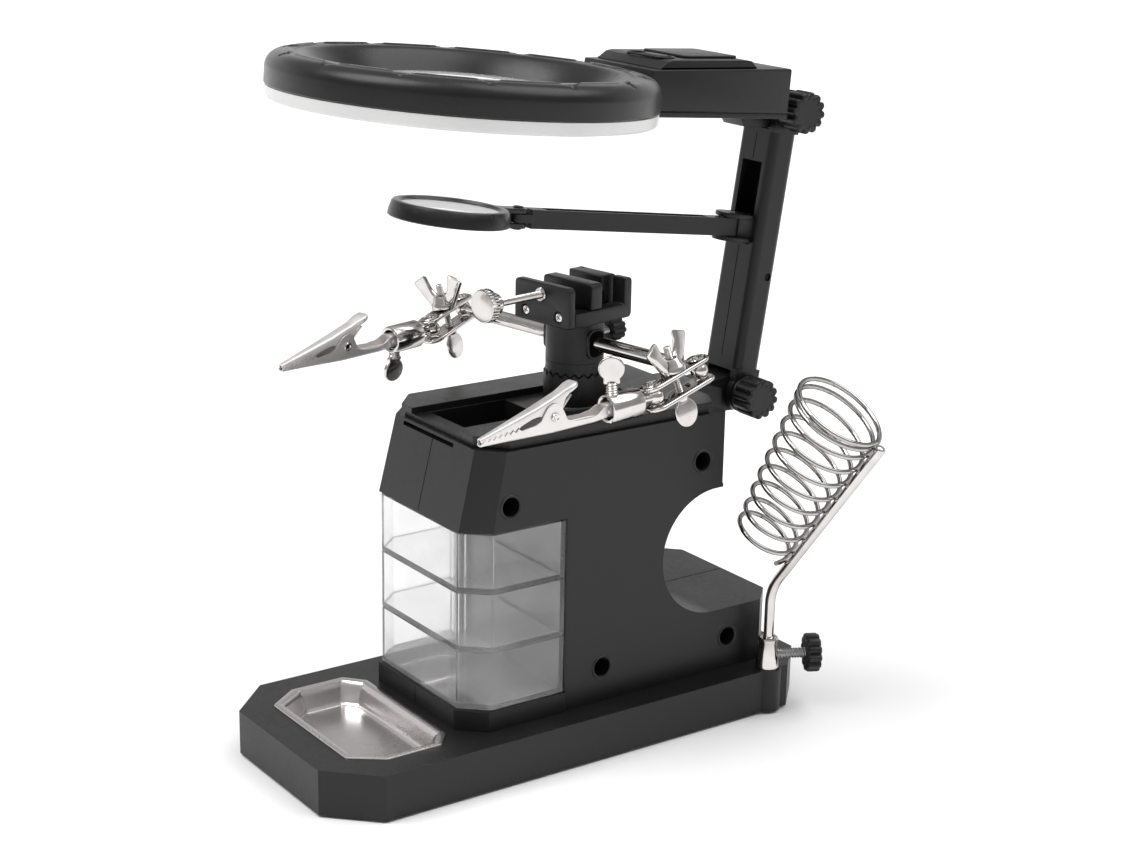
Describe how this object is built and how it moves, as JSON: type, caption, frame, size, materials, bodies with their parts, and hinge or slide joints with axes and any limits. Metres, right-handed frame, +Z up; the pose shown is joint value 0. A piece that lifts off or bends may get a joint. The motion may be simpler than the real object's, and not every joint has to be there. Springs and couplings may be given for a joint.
{
  "type": "soldering iron station",
  "caption": "Bench soldering station with swing-out parts trays, steel tray, small vise, clip arms, tilting ring-lit magnifier and coil iron holder.",
  "frame": {"origin": "centre of the flat underside of the base slab", "axes": "+X towards the iron holder side, +Y towards the mast at the rear, +Z up"},
  "size_m": [0.1659, 0.2425, 0.2769],
  "materials": {
    "black_plastic": "fine moulded texture, satin",
    "rubber": "matte",
    "screw_steel": "zinc plated",
    "stainless": "pressed and lightly brushed",
    "clear_plastic": "clear polystyrene, polished",
    "nickel": "bright nickel plate",
    "lens": "polished",
    "diffuser": "white translucent",
    "board": "white printed circuit board"
  },
  "bodies": {
    "station": {"base_shell": "black_plastic", "base_bottom_plate": "black_plastic", "rubber_feet": "rubber", "case_screws": "screw_steel", "housing_right": "black_plastic", "housing_left": "black_plastic", "top_deck": "black_plastic", "mast_bracket": "black_plastic", "tray_pin": "screw_steel", "post_lower": "black_plastic", "turret_bolt": "screw_steel", "iron_socket": "nickel"},
    "steel_tray": {"steel_tray": "stainless"},
    "tray_bottom": {"tray_bottom": "clear_plastic"},
    "tray_middle": {"tray_middle": "clear_plastic"},
    "tray_top": {"tray_top": "clear_plastic"},
    "turret": {"turret": "black_plastic", "vise_body": "black_plastic", "vise_front_plate": "black_plastic", "vise_plate_screws": "screw_steel"},
    "vise_jaw": {"vise_jaw": "black_plastic"},
    "vise_screw": {"vise_screw": "nickel"},
    "cross_rod": {"cross_rod": "nickel"},
    "rod_clamp_knob": {"rod_clamp_knob": "black_plastic"},
    "mast": {"mast_right": "black_plastic", "mast_left": "black_plastic", "mast_screws": "screw_steel"},
    "lower_knob": {"lower_knob": "black_plastic"},
    "upper_knob": {"upper_knob": "black_plastic"},
    "carriage": {"aux_carriage": "black_plastic", "aux_pin": "screw_steel"},
    "aux_arm": {"aux_arm": "black_plastic"},
    "aux_ring": {"aux_ring": "black_plastic", "aux_lens": "lens"},
    "head": {"head_shell": "black_plastic", "head_bottom_cover": "black_plastic", "battery_cover": "black_plastic", "diffuser": "diffuser", "led_board": "board", "main_lens": "lens"},
    "power_button": {"power_button": "black_plastic"},
    "holder": {"holder_rod": "nickel", "holder_coil": "nickel"},
    "holder_knob": {"holder_knob": "black_plastic"},
    "right_clamp": {"right_clamp_plates": "nickel", "right_thumb_bolt": "nickel"},
    "right_wing_nut": {"right_wing_nut": "nickel"},
    "right_hand": {"right_collar": "nickel"},
    "right_collar_screw": {"right_collar_screw": "nickel"},
    "right_clip": {"right_clip_lower": "nickel", "right_clip_pivot": "nickel"},
    "right_clip_upper": {"right_clip_upper": "nickel"},
    "left_clamp": {"left_clamp_plates": "nickel", "left_thumb_bolt": "nickel"},
    "left_wing_nut": {"left_wing_nut": "nickel"},
    "left_hand": {"left_collar": "nickel"},
    "left_collar_screw": {"left_collar_screw": "nickel"},
    "left_clip": {"left_clip_lower": "nickel", "left_clip_pivot": "nickel"},
    "left_clip_upper": {"left_clip_upper": "nickel"}
  },
  "joints": [
    {"name": "steel_tray_lift", "type": "slide", "parent": "station", "child": "steel_tray", "axis": [0, 0, -1], "range_m": [-0.03, 0]},
    {"name": "tray_bottom_swing", "type": "hinge", "parent": "station", "child": "tray_bottom", "pos_m": [-0.0342, -0.0102, 0.03], "axis": [0, 0, -1], "range_deg": [0, 90]},
    {"name": "tray_middle_swing", "type": "hinge", "parent": "station", "child": "tray_middle", "pos_m": [-0.0342, -0.0102, 0.03], "axis": [0, 0, -1], "range_deg": [0, 90]},
    {"name": "tray_top_swing", "type": "hinge", "parent": "station", "child": "tray_top", "pos_m": [-0.0342, -0.0102, 0.03], "axis": [0, 0, -1], "range_deg": [0, 90]},
    {"name": "turret_turn", "type": "hinge", "parent": "station", "child": "turret", "pos_m": [0, 0.022, 0.15], "axis": [0, 0, 1], "range_deg": [-54, 54]},
    {"name": "vise_jaw_slide", "type": "slide", "parent": "turret", "child": "vise_jaw", "axis": [-0.1736, 0.9848, 0], "range_m": [-0.008, 0.008]},
    {"name": "vise_screw_turn", "type": "hinge", "parent": "vise_jaw", "child": "vise_screw", "pos_m": [0.00269, 0.00216, 0.179], "axis": [-0.1736, 0.9848, 0], "range_deg": [-4115, 4115]},
    {"name": "cross_rod_slide", "type": "slide", "parent": "turret", "child": "cross_rod", "axis": [0.9848, 0.1736, 0], "range_m": [-0.012, 0.012]},
    {"name": "rod_clamp_turn", "type": "hinge", "parent": "turret", "child": "rod_clamp_knob", "pos_m": [-0.0026, 0.03677, 0.15865], "axis": [-0.1736, 0.9848, 0], "continuous": true},
    {"name": "right_clamp_swing", "type": "hinge", "parent": "cross_rod", "child": "right_clamp", "pos_m": [0.065, 0.03346, 0.15865], "axis": [-0.1545, -0.2716, 0.9499], "range_deg": [-20, 60]},
    {"name": "right_hand_swing", "type": "hinge", "parent": "right_clamp", "child": "right_hand", "pos_m": [0.06823, 0.01046, 0.1526], "axis": [-0.1545, -0.2716, 0.9499], "range_deg": [-50, 50]},
    {"name": "right_wing_nut_turn", "type": "hinge", "parent": "right_clamp", "child": "right_wing_nut", "pos_m": [0.06569, 0.02033, 0.16132], "axis": [-0.1545, -0.2716, 0.9499], "continuous": true},
    {"name": "right_collar_screw_turn", "type": "hinge", "parent": "right_hand", "child": "right_collar_screw", "pos_m": [0.06907, -0.01044, 0.15944], "axis": [0.0022, -0.0558, 0.9984], "continuous": true},
    {"name": "right_clip_turn", "type": "hinge", "parent": "right_hand", "child": "right_clip", "pos_m": [0.06903, -0.00949, 0.15148], "axis": [0.0401, -0.9976, -0.0558], "range_deg": [-170, 170]},
    {"name": "right_clip_open", "type": "hinge", "parent": "right_clip", "child": "right_clip_upper", "pos_m": [0.0702, -0.03862, 0.15346], "axis": [-0.9992, -0.0401, 0], "range_deg": [0, 20], "stiffness_Nm_per_rad": 0.02, "springref_deg": -20.05},
    {"name": "left_clamp_swing", "type": "hinge", "parent": "cross_rod", "child": "left_clamp", "pos_m": [-0.065, 0.01054, 0.15865], "axis": [-0.1001, -0.2355, 0.9667], "range_deg": [-60, 12]},
    {"name": "left_hand_swing", "type": "hinge", "parent": "left_clamp", "child": "left_hand", "pos_m": [-0.05493, -0.01085, 0.15448], "axis": [-0.1001, -0.2355, 0.9667], "range_deg": [-50, 50]},
    {"name": "left_wing_nut_turn", "type": "hinge", "parent": "left_clamp", "child": "left_wing_nut", "pos_m": [-0.06057, -0.00157, 0.16237], "axis": [-0.1001, -0.2355, 0.9667], "continuous": true},
    {"name": "left_collar_screw_turn", "type": "hinge", "parent": "left_hand", "child": "left_collar_screw", "pos_m": [-0.05164, -0.03089, 0.14603], "axis": [-0.1073, 0.0026, -0.9942], "continuous": true},
    {"name": "left_clip_turn", "type": "hinge", "parent": "left_hand", "child": "left_clip", "pos_m": [-0.05088, -0.03043, 0.15399], "axis": [0.2027, -0.9789, -0.0244], "range_deg": [-170, 170]},
    {"name": "left_clip_open", "type": "hinge", "parent": "left_clip", "child": "left_clip_upper", "pos_m": [-0.04461, -0.05882, 0.15686], "axis": [-0.9733, -0.2042, 0.1045], "range_deg": [0, 20], "stiffness_Nm_per_rad": 0.02, "springref_deg": -20.05},
    {"name": "mast_tilt", "type": "hinge", "parent": "station", "child": "mast", "pos_m": [0, 0.102, 0.1264], "axis": [1, 0, 0], "range_deg": [-35, 5]},
    {"name": "lower_knob_turn", "type": "hinge", "parent": "mast", "child": "lower_knob", "pos_m": [0.018, 0.102, 0.1264], "axis": [1, 0, 0], "continuous": true},
    {"name": "upper_knob_turn", "type": "hinge", "parent": "mast", "child": "upper_knob", "pos_m": [0.018, 0.12, 0.24403], "axis": [1, 0, 0], "continuous": true},
    {"name": "carriage_slide", "type": "slide", "parent": "mast", "child": "carriage", "axis": [0, 0.1513, 0.9885], "range_m": [0, 0.019]},
    {"name": "aux_arm_swing", "type": "hinge", "parent": "carriage", "child": "aux_arm", "pos_m": [0, 0.09979, 0.19593], "axis": [0, 0.1513, 0.9885], "range_deg": [-75, 75]},
    {"name": "aux_ring_swing", "type": "hinge", "parent": "aux_arm", "child": "aux_ring", "pos_m": [-0.00155, -0.00531, 0.20958], "axis": [0, 0.1288, 0.9917], "range_deg": [-30, 30]},
    {"name": "head_tilt", "type": "hinge", "parent": "mast", "child": "head", "pos_m": [0, 0.12, 0.24403], "axis": [1, 0, 0], "range_deg": [-45, 4]},
    {"name": "power_button_press", "type": "slide", "parent": "head", "child": "power_button", "axis": [0, -0.0799, -0.9968], "range_m": [0, 0.001], "stiffness_N_per_m": 300, "springref_m": -0.001},
    {"name": "holder_turn", "type": "hinge", "parent": "station", "child": "holder", "pos_m": [0.0467, 0.0905, 0.03], "axis": [0, 0, 1], "range_deg": [-60, 60]},
    {"name": "holder_knob_turn", "type": "hinge", "parent": "station", "child": "holder_knob", "pos_m": [0.0467, 0.0905, 0.024], "axis": [0.4695, 0.8829, 0], "continuous": true}
  ],
  "couplings": [
    {"joint": "vise_screw_turn", "follows": "vise_jaw_slide", "rad_per_m": 8976}
  ]
}
